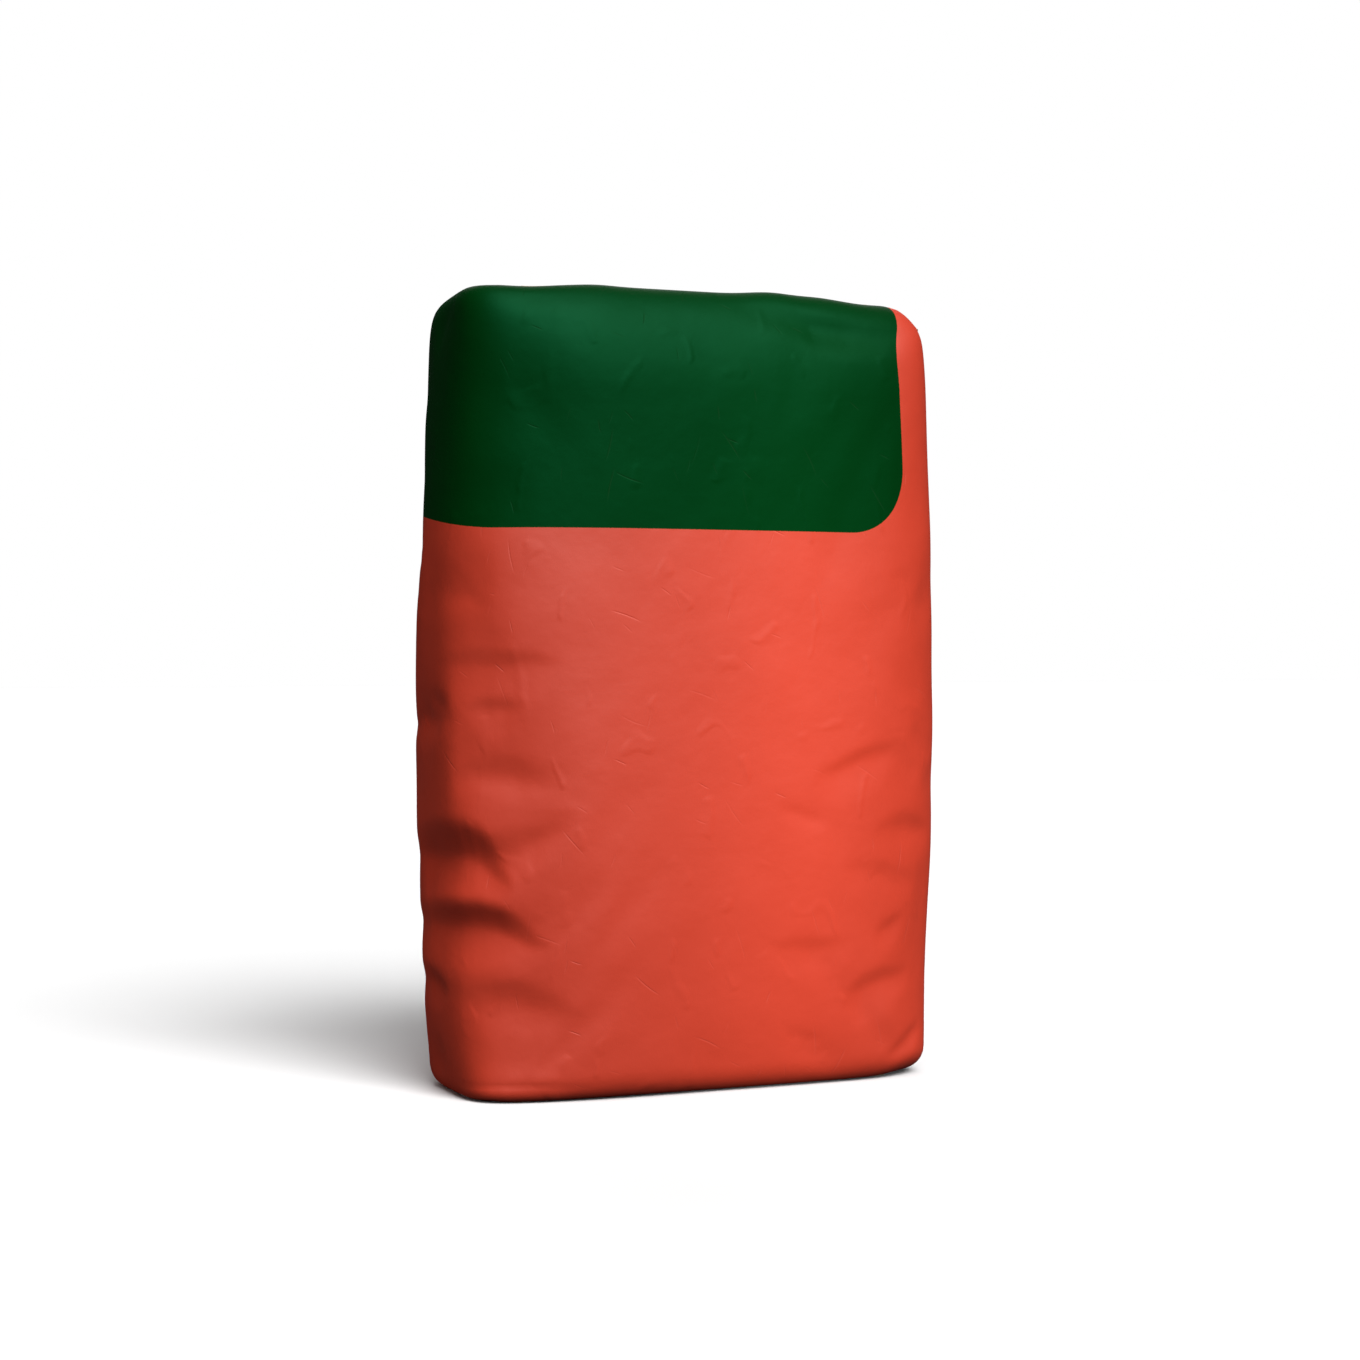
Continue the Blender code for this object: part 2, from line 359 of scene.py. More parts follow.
def sack_grid():
    """Points, faces and sheet coordinates of the closed sack, wall rows first, then the ends."""
    heights = row_heights()
    rows = len(heights)
    wall = np.stack([ring_points(z) for z in heights])
    number = np.arange(rows * AROUND).reshape(rows, AROUND)
    wrapped = np.concatenate([number, number[:, :1]], 1)
    column = (np.arange(AROUND + 1) - ACROSS / 2) * CELL
    sheet = np.stack(np.broadcast_arrays(column[None, :], heights[:, None]), -1)
    points = [wall.reshape(-1, 3)]
    faces = [corners_of(wrapped, False)]
    uvs = [corners_of(sheet, False)]
    count = rows * AROUND
    inside = (DEEP - 1) * (ACROSS - 1)
    for end, row in (("bottom", 0), ("top", rows - 1)):
        spanned = cap_points(wall[row])
        grid = np.zeros((DEEP + 1, ACROSS + 1), int)
        grid[0], grid[:, -1], grid[-1], grid[:, 0] = cap_rim(number[row])
        grid[1:-1, 1:-1] = count + np.arange(inside).reshape(DEEP - 1, ACROSS - 1)
        count += inside
        points.append(spanned[1:-1, 1:-1].reshape(-1, 3))
        faces.append(corners_of(grid, end == "bottom"))
        uvs.append(cap_sheet(corners_of(spanned, end == "bottom"), end == "top"))
    points = np.concatenate(points)
    return uneven(points), np.concatenate(faces), np.concatenate(uvs)


def cap_sheet(corner, is_top):
    """Sheet coordinates of an end's faces: each flap goes on from its own panel."""
    half_width, half_depth = np.abs(corner[..., 0]).max(), np.abs(corner[..., 1]).max()
    x, y = corner[..., 0], corner[..., 1]
    along = x / half_width * ACROSS / 2 * CELL
    across = (y / half_depth + 1) / 2 * DEEP * CELL
    edge = ACROSS / 2 * CELL
    panels = [(along, half_depth + y), (PATTERN - along, half_depth - y),
              (edge + across, half_width - x), (-edge - across, half_width + x)]
    inward = np.stack([panel[1].mean(1) for panel in panels])
    nearest = inward.argmin(0)
    u = np.choose(nearest[:, None], [panel[0] for panel in panels])
    v = np.choose(nearest[:, None], [panel[1] for panel in panels])
    return np.stack([u, HEIGHT + v if is_top else -v], -1)


def uneven(points):
    """The sack's points with the waves of the top's front edge and its two uneven corners."""
    x, y, z = points.T
    high = np.clip(1 - (HEIGHT + BASE - z) / TOP_EDGE_FRONT[1], 0, 1)
    front = np.clip(0.5 - y / WAVE_FADE, 0, 1)
    for place, rise, spread in TOP_WAVES:
        z = z + rise / MM * np.exp(-((x * MM - place) / spread) ** 2) * high * front
    corner_x, corner_y, drop, reach = SAGGED_CORNER
    away = np.hypot(x - corner_x, y - corner_y) / reach
    high = np.clip(1 - (HEIGHT + BASE - z) / reach, 0, 1)
    z = z - drop * np.exp(-away ** 2) * high
    corner_x, corner_y, lift, reach = LIFTED_CORNER
    away = np.hypot(x - corner_x, y - corner_y) / reach
    low = np.clip(1 - (z - BASE) / reach, 0, 1)
    z = z + lift * np.exp(-away ** 2) * low
    return np.stack([x, y, z], -1)


def mesh_of(points, faces, name, uvs=None):
    """Smooth mesh with the sheet's coordinates as its UVs, if it has any."""
    if uvs is None:
        uvs = np.zeros((len(faces), 4, 2))
    mesh = bpy.data.meshes.new(name)
    mesh.from_pydata(points, [], [list(face) for face in faces])
    layer = mesh.uv_layers.new(name="sheet")
    layer.data.foreach_set("uv", uvs.ravel())
    mesh.shade_smooth()
    mesh.update()
    return mesh


def vertex_array(mesh, attribute="co"):
    """Vertex positions or normals of a mesh as rows of three numbers."""
    source = mesh.vertices if attribute == "co" else mesh.vertex_normals
    values = np.empty(len(mesh.vertices) * 3)
    source.foreach_get(attribute, values)
    return values.reshape(-1, 3)


def normals_of(points, faces):
    """Outward directions at the points of a closed mesh."""
    rough = mesh_of(points, faces, "rough")
    normals = vertex_array(rough, "vector")
    bpy.data.meshes.remove(rough)
    return normals


def hidden_dents():
    """Dents and their folds along the edges that the photograph doesn't show."""
    rng = np.random.default_rng(HIDDEN_SEED)
    dents, folds = [], []
    for edge in HIDDEN_EDGES:
        height = rng.uniform(*HIDDEN_FIRST)
        while height < HIDDEN_TOP:
            depth = rng.uniform(*HIDDEN_DEPTH) * (1 - height / HIDDEN_DEPTH_FADE)
            reach = rng.uniform(*HIDDEN_REACH)
            up = rng.uniform(*HIDDEN_UP)
            down = rng.uniform(*HIDDEN_DOWN)
            middle = edge * MM + rng.uniform(*HIDDEN_SHIFT)
            tilt = rng.uniform(*HIDDEN_TILT)
            dents.append((middle, height, reach, up, down, depth / 2, tilt))
            line = []
            for share, part in HIDDEN_LINE:
                bend = rng.uniform(*HIDDEN_BEND)
                place = middle + share * reach
                level = height + share * reach * math.sin(math.radians(tilt)) + bend
                width = HIDDEN_NARROWEST + (1 - HIDDEN_NARROWEST) * part
                line.append((place, level, depth * part, up * width, down * width))
            folds.append((rng.uniform(*HIDDEN_CRISP), line))
            height += rng.uniform(*HIDDEN_STEP)
    return dents, folds


def fold_depth(s, z):
    """How deep the folds and hollows press the paper in at places on the sheet."""
    s, z = s * MM, z * MM
    girth = PERIMETER * MM
    total = np.zeros(np.shape(s))
    for crisp, line in FOLDS + hidden_dents()[1]:
        place, level, depth, up, down = np.array(line).T
        middle = place.mean()
        near = (s - middle + girth / 2) % girth - girth / 2 + middle
        dz = z - np.interp(near, place, level)
        width = np.where(dz > 0, np.interp(near, place, up), np.interp(near, place, down))
        share = np.clip(1 - np.abs(dz) / width, 0, 1)
        soft = share ** 2 * (3 - 2 * share)
        profile = crisp * share ** CRISP_POWER + (1 - crisp) * soft
        total += np.interp(near, place, depth, 0, 0) * profile
    for place, level, depth, beside, up, down in HOLLOWS:
        away = (s - place + girth / 2) % girth - girth / 2
        dz = (z - level) / np.where(z > level, up, down)
        total += depth * np.exp(-(away / beside) ** 2 - dz ** 2)
    to_end = np.minimum(z, HEIGHT * MM - z)
    return total / MM * np.clip(to_end / FOLD_END_FADE, 0, 1)


def dent_fields(rows):
    """Depth of the dents, and the spare paper that they take up, on the wall's grid."""
    s = (np.arange(AROUND) - ACROSS / 2)[None, :] * CELL
    z = row_heights()[:, None]
    depth = np.zeros((rows, AROUND))
    spare = np.zeros((rows, AROUND))
    for dent in SIDE_DENTS + FRONT_DENTS + hidden_dents()[0]:
        middle, level, reach, up, down, deep = (value / MM for value in dent[:6])
        tilt = math.radians(dent[6])
        ds = (s - middle + PERIMETER / 2) % PERIMETER - PERIMETER / 2
        dz = z - level
        along = (ds * math.cos(tilt) + dz * math.sin(tilt)) / reach
        across = -ds * math.sin(tilt) + dz * math.cos(tilt)
        across = across / np.where(across > 0, up, down)
        taper = np.clip(1 - along ** 2, 0, 1)
        width = np.maximum(taper, TINY) ** DENT_POINTED
        valley = taper * np.clip(1 - np.abs(across) / width, 0, 1)
        nearness = np.exp(-SPARE_ALONG * along ** 2 - SPARE_ACROSS * across ** 2)
        depth += deep * valley
        spare += DENT_SPARE * min(1, deep / FULL_DENT) * nearness
    return depth, spare


def rest_points(points, spare):
    """The sack as if its paper lay slack: taller where the dents need spare paper."""
    rows = len(spare)
    rest = points.copy()
    rest[:, :2] *= 1 + SPARE_GIRTH
    stretch = (spare[1:] + spare[:-1]) / 2 + SPARE_HEIGHT
    grown = np.cumsum(stretch * np.diff(row_heights())[:, None], 0)
    grown = np.concatenate([np.zeros((1, AROUND)), grown])
    grown -= grown[-1:] / 2
    wall = rest[:rows * AROUND].reshape(rows, AROUND, 3)
    wall[..., 2] += grown
    ends = rest[rows * AROUND:]
    ends[:, 2] += np.where(ends[:, 2] > HEIGHT / 2, grown[-1].mean(), grown[0].mean())
    return rest


def hold(obj, height, push):
    """Weight each point by how firmly it is held: at the ends and in the deepest dents."""
    at_end = np.where((height < HELD_END) | (height > HEIGHT - HELD_END), 1.0, 0.0)
    in_dent = np.where(push > HELD_DENT, np.clip(push / FIXED_DENT, 0, 1) ** 2, 0)
    held = np.maximum(at_end, in_dent).round(1)
    group = obj.vertex_groups.new(name="held")
    for weight in np.unique(held[held > 0]):
        group.add(np.nonzero(held == weight)[0].tolist(), float(weight), "REPLACE")


def add_paper_cloth(obj, slack):
    """Cloth as stiff as paper, under the cement's pressure, whose slack form is a shape key."""
    cloth = obj.modifiers.new("Cloth", "CLOTH")
    paper = cloth.settings
    paper.quality = 5
    paper.mass = 0.3
    paper.tension_stiffness = paper.compression_stiffness = 60
    paper.shear_stiffness = 30
    paper.bending_stiffness = 2
    paper.tension_damping = paper.compression_damping = paper.shear_damping = 10
    paper.bending_damping = 1
    paper.air_damping = 2
    paper.vertex_group_mass = "held"
    paper.rest_shape_key = slack
    paper.use_pressure = True
    paper.uniform_pressure_force = 2
    paper.effector_weights.gravity = 0
    cloth.collision_settings.use_collision = False
    cloth.point_cache.frame_end = CLOTH_FRAMES + 1


def relax(points, normals, faces):
    """Points of the dented sack when its paper has settled as cloth round the cement."""
    rows = len(row_heights())
    depth, spare = dent_fields(rows)
    push = np.zeros(len(points))
    push[:rows * AROUND] = depth.ravel()
    ripple = np.array([noise.noise(Vector(p) * RIPPLE_SCALE) for p in points]) * START_RIPPLE
    start = points + normals * (ripple - push)[:, None]
    obj = link(mesh_of(start, faces, "settling"), "settling")
    obj.shape_key_add(name="start")
    slack = obj.shape_key_add(name="slack")
    slack.data.foreach_set("co", rest_points(points, spare).ravel())
    slack.value = 0
    hold(obj, points[:, 2] - BASE, push)
    add_paper_cloth(obj, slack)
    for moment in range(1, CLOTH_FRAMES + 1):
        bpy.context.scene.frame_set(moment)
    settled = obj.evaluated_get(bpy.context.evaluated_depsgraph_get())
    result = vertex_array(settled.data)
    bpy.data.objects.remove(obj)
    return result


def blur(grid, radius, axis):
    """Gaussian blur of a wall grid, which wraps round the tube and stops at its ends."""
    offsets = np.arange(-3 * radius, 3 * radius + 1)
    weights = np.exp(-0.5 * (offsets / radius) ** 2)
    weights /= weights.sum()
    total = np.zeros_like(grid)
    size = grid.shape[axis]
    for offset, weight in zip(offsets, weights):
        place = np.arange(size) + offset
        place = place % size if axis == 1 else np.clip(place, 0, size - 1)
        total += weight * np.take(grid, place, axis)
    return total


def settled_points(points, normals, faces):
    """The fitted form with the folds of the settled paper, without its overall swelling."""
    heights = row_heights()
    rows = len(heights)
    moved = relax(points, normals, faces) - points
    wall = moved[:rows * AROUND].reshape(rows, AROUND, 3)
    swelling = blur(blur(wall, KEPT_RADIUS, 0), KEPT_RADIUS, 1)
    near_end = np.minimum(heights, HEIGHT - heights)
    fade = np.clip(near_end / END_FADE, 0, 1)[:, None]
    s = (np.arange(AROUND) - ACROSS / 2)[None, :] * CELL
    front = np.exp(-((s - FRONT_MIDDLE) / FRONT_HALF) ** FRONT_POWER)
    upper = np.clip((heights[:, None] - TOP_CALM_START) / TOP_CALM_FADE, 0, 1)
    gain = (SIDE_GAIN - FRONT_CALM * front - TOP_CALM * front * upper) * fade
    for place, spread, calm in OUTLINE_CALM:
        gain = gain * (1 - calm * np.exp(-((s - place) / spread) ** 2))
    result = points.copy()
    result[:rows * AROUND] += ((wall - swelling) * gain[..., None]).reshape(-1, 3)
    return result


def open_slit(points, faces):
    """Part the wall along the valve's row, with the lips a little apart and pushed out."""
    row = valve_row(row_heights())
    columns = np.arange(SLIT_FIRST + 1, SLIT_LAST)
    lower = row * AROUND + columns
    upper = len(points) + np.arange(len(columns))
    renumbered = np.arange(len(points))
    renumbered[lower] = upper
    above = slice(row * AROUND, (row + 1) * AROUND)
    faces = faces.copy()
    faces[above] = renumbered[faces[above]]
    middle = (SLIT_FIRST + SLIT_LAST) / 2
    apart = 1 - ((columns - middle) / (middle - SLIT_FIRST)) ** 2
    points = points.copy()
    for nearby, share in LIP_ROWS:
        points[lower + nearby * AROUND, 0] += LIP_PUSH * share * apart
    points = np.concatenate([points, points[lower]])
    points[upper, 2] += SLIT_OPENING * apart
    points[lower, 2] -= SLIT_OPENING * apart
    return points, faces


def press_folds(mesh):
    """Press the folds into the paper."""
    loops = np.empty(len(mesh.loops), int)
    mesh.loops.foreach_get("vertex_index", loops)
    uv = np.empty(len(mesh.loops) * 2)
    mesh.uv_layers["sheet"].data.foreach_get("uv", uv)
    points = vertex_array(mesh)
    sheet = np.zeros((len(points), 2))
    sheet[loops] = uv.reshape(-1, 2)
    points -= vertex_array(mesh, "vector") * fold_depth(*sheet.T)[:, None]
    mesh.vertices.foreach_set("co", points.ravel())
    mesh.update()


def fold_ends(mesh):
    """Lay the long flaps of both ends over the short ones, one paper's thickness higher."""
    points = vertex_array(mesh)
    for level, outward in ((BASE, -1), (BASE + HEIGHT, 1)):
        on_end = np.abs(points[:, 2] - level) < ON_END
        flat = points[on_end]
        half_width, half_depth = np.abs(flat[:, 0]).max(), np.abs(flat[:, 1]).max()
        to_side = half_width - np.abs(flat[:, 0])
        to_front = half_depth - np.abs(flat[:, 1])
        sunk = np.clip((to_front - to_side) / FLAP_EDGE + 0.5, 0, 1)
        rim = np.clip(to_side / FLAP_RIM, 0, 1)
        flat[:, 2] -= outward * FLAP_STEP * sunk * rim
        points[on_end] = flat
    mesh.vertices.foreach_set("co", points.ravel())
    mesh.update()


def make_sack():
    """The paper sack as one fine mesh, and the coarse points and faces it was made from."""
    points, faces, uvs = sack_grid()
    normals = normals_of(points, faces)
    points = settled_points(points, normals, faces)
    slit_points, slit_faces = open_slit(points, faces)
    coarse = link(mesh_of(slit_points, slit_faces, "coarse", uvs), "coarse")
    fine = coarse.modifiers.new("Fine", "SUBSURF")
    fine.levels = fine.render_levels = 1
    evaluated = coarse.evaluated_get(bpy.context.evaluated_depsgraph_get())
    mesh = bpy.data.meshes.new_from_object(evaluated)
    mesh.name = "paper_sack_skin"
    bpy.data.objects.remove(coarse)
    press_folds(mesh)
    fold_ends(mesh)
    rows = row_heights()
    column = (np.arange(AROUND) - ACROSS / 2) * CELL
    wall = len(rows) * AROUND
    pressed = fold_depth(*np.broadcast_arrays(column[None, :], rows[:, None])).ravel()
    points[:wall] -= normals[:wall] * pressed[:, None]
    return link(mesh, "paper_sack_skin"), points, faces


def make_fill(points, faces):
    """Packed cement just inside the paper, with its uneven top under the valve sleeve."""
    inside = points - normals_of(points, faces) * FILL_INSET
    grain = np.array([noise.noise(Vector(p) * POWDER_SCALE) for p in inside]) * POWDER_HEIGHT
    inside[:, 2] = np.minimum(inside[:, 2], FILL_TOP + grain)
    return link(mesh_of(inside, faces, "packed_cement"), "packed_cement")


def make_sleeve(points):
    """Flattened paper tube whose mouth stands just proud of the slit."""
    row = valve_row(row_heights())
    side = points[row * AROUND + np.arange(SLIT_FIRST, SLIT_LAST + 1)]
    turn = np.linspace(0, 2 * math.pi, SLEEVE_LOOP, endpoint=False)
    half_width = side[:, 1].max() - SLEEVE_SIDE_GAP
    y = side[:, 1].mean() + half_width * np.cos(turn)
    z = VALVE_LEVEL + SLEEVE_OPENING * np.sin(turn)
    order = side[:, 1].argsort()
    apart = 1 - (y / half_width) ** 2
    mouth = np.interp(y, side[order, 1], side[order, 0]) + SLEEVE_PROUD + LIP_PUSH * apart
    back = np.linspace(0, 1, SLEEVE_ROWS)[:, None]
    x = mouth[None] * (1 - back) + (mouth.max() - SLEEVE_LENGTH) * back
    loops = np.stack([x, np.broadcast_to(y, x.shape), np.broadcast_to(z, x.shape)], -1)
    number = np.arange(SLEEVE_ROWS * SLEEVE_LOOP).reshape(SLEEVE_ROWS, SLEEVE_LOOP)
    faces = corners_of(np.concatenate([number, number[:, :1]], 1), False)
    mesh = mesh_of(loops.reshape(-1, 3), faces, "sleeve_paper_tube")
    sleeve = link(mesh, "sleeve_paper_tube")
    walls = sleeve.modifiers.new("Paper", "SOLIDIFY")
    walls.thickness = SLEEVE_WALL
    walls.offset = 0
    return sleeve


def make_cover(name, node, below=None):
    """Thin glued sheet in its node's place over a folded end, and the sheet's flat size.

    The sheet of the top lies on the sack, which is given as the object below it.
    """
    low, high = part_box(node)
    size = (high.x - low.x, high.y - low.y)
    across, deep = (round(length / COVER_CELL) for length in size)
    x = np.linspace(low.x, high.x, across + 1)
    y = np.linspace(low.y, high.y, deep + 1)
    grid = np.stack(np.broadcast_arrays(x[None, :], y[:, None], (low.z + high.z) / 2), -1).copy()
    if below:
        faces = [tuple(face.vertices) for face in below.data.polygons]
        tree = BVHTree.FromPolygons([vert.co for vert in below.data.vertices], faces)
        for point in grid.reshape(-1, 3):
            above = Vector((point[0], point[1], ABOVE_SACK))
            hit = tree.ray_cast(above, Vector((0, 0, -1)))[0]
            point[2] = hit.z + COVER_LIFT
    number = np.arange(grid[..., 0].size).reshape(grid.shape[:2])
    faces = corners_of(number, False)
    mesh = mesh_of(grid.reshape(-1, 3), faces, name, corners_of(grid[..., :2], False))
    cover = link(mesh, name)
    paper = cover.modifiers.new("Paper", "SOLIDIFY")
    paper.thickness = high.z - low.z
    paper.offset = 0
    return cover, size


# Studio: suns as (name, azimuth, elevation, strength, softness, whether the gloss shows them),
# and strips as (name, azimuth, elevation, distance, power, width, spread). The floor looks pale,
# but gives little light back, and the white surroundings light the sack only faintly
FLOOR_SIZE = 30.0
FLOOR_PALE = [(0.90, 0.90, 0.90), (0.93, 0.93, 0.93)]
FLOOR_BOUNCE = (0.035, 0.035, 0.035)
SURROUNDINGS = 0.02
SUNS = [
    ("front", 4, 45, 3.05, 42, True),
    ("top", 16, 45, 0.90, 28, True),
    ("overhead", -40, 78, 0.46, 30, False),
    ("low_left", -108, 8, 0.60, 20, False),
    ("back", 160, 40, 0.45, 40, True),
]
STRIP_AIM = (0.052, -0.07, 0.23)
STRIP_HEIGHT = 0.5
STRIPS = [
    ("wide_strip", 10, 10, 1.0, 0.19, 0.08, 28),
    ("narrow_strip", 12, 6, 0.6, 0.024, 0.05, 14),
]

# Print, in sheet coordinates: the pattern repeats after half the tube's girth. Towards the top
# the green field's right edge turns in, and its low edge rises on the side panel
GREEN_RIGHT = 0.1285
STRIP_WIDTH = 0.045
GREEN_LOW = 0.3355
GREEN_CORNER = 0.042
GATHER_START = 0.430
GATHER_SHIFT = 0.034
GATHER_POWER = 3.0
CORAL_TOP = HEIGHT + 0.0002
SIDE_RISE = 0.010
SIDE_SPAN = 0.095
PRINT_BLUR = 0.00015
PRINT_RAGGED = 0.0005
CORAL = (0.56, 0.042, 0.016)
GREEN = (0.0001, 0.0270, 0.0024)
GREEN_GLOSS = 0.22
CORAL_GLOSS = 0.85
GREEN_SHINE = (0.06, 1.0, 0.45)
CORAL_SHINE = (1.0, 0.95, 0.9)
BARE_PAPER = (0.62, 0.58, 0.52)
SEAM_EDGE = 0.489
SEAM_WIDTH = 0.030
SEAM_STEP = 0.0005
SEAM_FLAT = 0.004

# Surface of the printed paper: how much each thing changes the tone and the roughness, and
# how high it stands (m)
MOTTLE_TONE = 0.10
FIBRE_TONE = 0.09
MATT = 0.47
MOTTLE_MATT = 0.10
CREASE_MATT = 0.15
CREASE_WEAR = 0.006
CREASE_HEIGHT = 0.00013
SOFT_CREASE_HEIGHT = 0.00018
LUMP_HEIGHT = 0.0006
SEAM_HEIGHT = 0.0006
FIBRE_HEIGHT = 0.00005
LONG_CREASES = {"cell": 0.050, "length": 0.012, "width": 0.0007, "share": 0.55, "seed": 0.31}
SHORT_CREASES = {"cell": 0.026, "length": 0.005, "width": 0.0006, "share": 0.45, "seed": 2.74}
CREASE_LEAN = (-1.25, 0.35)
CREASE_FULL = 0.25
CREASE_FAINTEST = 0.35
SOFT_CREASE_WIDTH = 0.045
SOFT_CREASE_POWER = 1.5
SOFT_CREASE_KEPT = (0.50, 0.62)

# Plain paper and cement
PAPER_DARKEST = 0.62
PAPER_TONE = 0.22
FLECK_SHARE = 0.35
FLECK_EDGE = (0.66, 0.72)
POWDER_TONES = [(0.25, 0.25, 0.24), (0.41, 0.41, 0.40)]
POWDER_CLOUD = 0.6


class Graph:
    """Short ways to add shader nodes to one material."""

    def __init__(self, name):
        self.material = bpy.data.materials.new(name)
        self.material.use_nodes = True
        self.nodes = self.material.node_tree.nodes
        self.links = self.material.node_tree.links
        self.shader = self.nodes["Principled BSDF"]

    def plug(self, socket, value):
        """Give a socket a number, a colour, or another node's output."""
        if isinstance(value, bpy.types.NodeSocket):
            self.links.new(value, socket)
        elif isinstance(value, tuple) and len(value) == 3 and socket.type == "RGBA":
            socket.default_value = (*value, 1.0)
        else:
            socket.default_value = value

    def math(self, operation, *values, clamp=False):
        """Math node on numbers or outputs."""
        node = self.nodes.new("ShaderNodeMath")
        node.operation = operation
        node.use_clamp = clamp
        for socket, value in zip(node.inputs, values):
            self.plug(socket, value)
        return node.outputs[0]

    def span(self, value, low, high, to_low=0.0, to_high=1.0):
        """Smooth step of a value from one range to another."""
        node = self.nodes.new("ShaderNodeMapRange")
        node.interpolation_type = "SMOOTHSTEP"
        for socket, number in zip(node.inputs, (value, low, high, to_low, to_high)):
            self.plug(socket, number)
        return node.outputs[0]

    def mix(self, share, first, second):
        """Colour between two colours."""
        node = self.nodes.new("ShaderNodeMix")
        node.data_type = "RGBA"
        self.plug(node.inputs[0], share)
        self.plug(node.inputs[6], first)
        self.plug(node.inputs[7], second)
        return node.outputs[2]

    def product(self, *values):
        """Product of several numbers or outputs."""
        total = values[0]
        for value in values[1:]:
            total = self.math("MULTIPLY", total, value)
        return total

    def stray(self, value, amount, middle=0.0):
        """A value from 0 to 1 turned into one that strays from a middle by half an amount."""
        return self.math("MULTIPLY_ADD", self.math("SUBTRACT", value, 0.5), amount, middle)

    def vector(self, operation, first, second):
        """Vector math node on two vectors, or on a vector and its scale."""
        node = self.nodes.new("ShaderNodeVectorMath")
        node.operation = operation
        self.plug(node.inputs[0], first)
        self.plug(node.inputs["Scale" if operation == "SCALE" else 1], second)
        return node.outputs[0]

    def split(self, vector):
        """The three parts of a vector."""
        node = self.nodes.new("ShaderNodeSeparateXYZ")
        self.links.new(vector, node.inputs[0])
        return node.outputs

    def place(self):
        """Coordinates of the object itself."""
        return self.nodes.new("ShaderNodeTexCoord").outputs["Object"]

    def scaled(self, vector, scale):
        """A vector with each of its parts scaled."""
        node = self.nodes.new("ShaderNodeMapping")
        node.vector_type = "POINT"
        self.links.new(vector, node.inputs[0])
        node.inputs[3].default_value = scale
        return node.outputs[0]

    def noise(self, vector, scale, detail=2.0, rough=0.5):
        """Noise texture's value, from 0 to 1."""
        node = self.nodes.new("ShaderNodeTexNoise")
        self.links.new(vector, node.inputs["Vector"])
        node.inputs["Scale"].default_value = scale
        node.inputs["Detail"].default_value = detail
        node.inputs["Roughness"].default_value = rough
        return node.outputs[0]

    def bump(self, height, distance, under=None):
        """Bump of a height from 0 to 1 times a distance in metres, over another bump."""
        node = self.nodes.new("ShaderNodeBump")
        node.inputs["Strength"].default_value = 1.0
        node.inputs["Distance"].default_value = distance
        self.links.new(height, node.inputs["Height"])
        if under:
            self.links.new(under, node.inputs["Normal"])
        return node.outputs[0]

    def surface(self, colour, rough, normal, gloss):
        """Give the shader its colour, roughness, bump and gloss."""
        self.plug(self.shader.inputs["Base Color"], colour)
        self.plug(self.shader.inputs["Roughness"], rough)
        self.plug(self.shader.inputs["Normal"], normal)
        self.plug(self.shader.inputs["Specular IOR Level"], gloss)


def hair_creases(graph, sheet, cell, length, width, share, seed):
    """Short fine crease lines, mostly upright and leaning, at most one to a cell."""
    cells = graph.scaled(sheet, (1 / cell, 1 / cell, 1.0))
    cells = graph.vector("ADD", cells, (seed, seed * 1.7, 0.0))
    nearest = graph.nodes.new("ShaderNodeTexVoronoi")
    nearest.voronoi_dimensions = "2D"
    graph.plug(nearest.inputs["Scale"], 1.0)
    graph.plug(nearest.inputs["Vector"], cells)
    away = graph.vector("SUBTRACT", cells, nearest.outputs["Position"])
    chance = graph.nodes.new("ShaderNodeSeparateColor")
    graph.plug(chance.inputs[0], nearest.outputs["Color"])
    leaning, bent, chosen = chance.outputs
    turned = graph.nodes.new("ShaderNodeVectorRotate")
    turned.rotation_type = "Z_AXIS"
    graph.plug(turned.inputs["Vector"], away)
    graph.plug(turned.inputs["Angle"], graph.span(leaning, 0.0, 1.0, *CREASE_LEAN))
    beside, along, _ = graph.split(turned.outputs[0])
    along = graph.math("ABSOLUTE", along)
    bow = graph.product(graph.math("POWER", along, 2.0), graph.stray(bent, 1.0))
    beside = graph.math("ABSOLUTE", graph.math("SUBTRACT", beside, bow))
    line = graph.span(beside, 0.0, width / cell, 1.0, 0.0)
    ends = graph.span(along, CREASE_FULL * length / cell, length / cell, 1.0, 0.0)
    strength = graph.span(chosen, 1 - share, 1.0, CREASE_FAINTEST, 1.0)
    kept = graph.math("GREATER_THAN", chosen, 1 - share)
    return graph.product(line, ends, strength, kept)


def soft_creases(graph, sheet):
    """Broken, wandering crease lines that the paper keeps from being handled."""
    wander = graph.noise(graph.scaled(sheet, (1.0, 0.55, 1.0)), scale=17.0, detail=1.0)
    beside = graph.math("ABSOLUTE", graph.math("SUBTRACT", wander, 0.5))
    line = graph.span(beside, 0.0, SOFT_CREASE_WIDTH, 1.0, 0.0)
    kept = graph.span(graph.noise(sheet, scale=42.0, detail=1.0), *SOFT_CREASE_KEPT)
    return graph.product(graph.math("POWER", line, SOFT_CREASE_POWER), kept)


